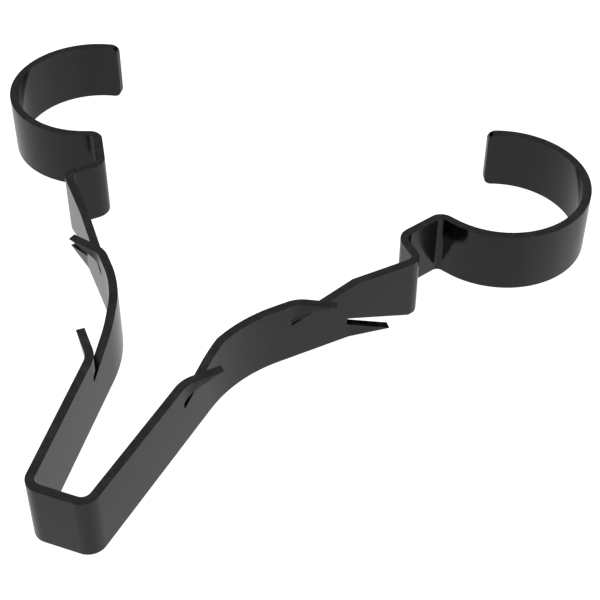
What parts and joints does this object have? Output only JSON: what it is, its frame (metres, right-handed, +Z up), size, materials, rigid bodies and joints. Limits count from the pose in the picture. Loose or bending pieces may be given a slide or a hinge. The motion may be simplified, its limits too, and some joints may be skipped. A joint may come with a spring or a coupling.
{
  "type": "cable staple",
  "caption": "Folded spring-steel strip cable staple: a barbed V-shaped shank pushes into a drilled hole, and open round hooks on its spread arms hold cables.",
  "frame": {"origin": "middle of the bounding box in plan, on the plane of the strip's lower edge", "axes": "+X across the clip from one hook to the other, +Y from the nose towards the hooks, +Z up along the strip's width"},
  "size_m": [0.0392, 0.0376, 0.004],
  "materials": {
    "coated_steel": "satin black coating on spring-steel strip"
  },
  "bodies": {
    "root": {"cable_staple": "coated_steel"}
  },
  "joints": []
}
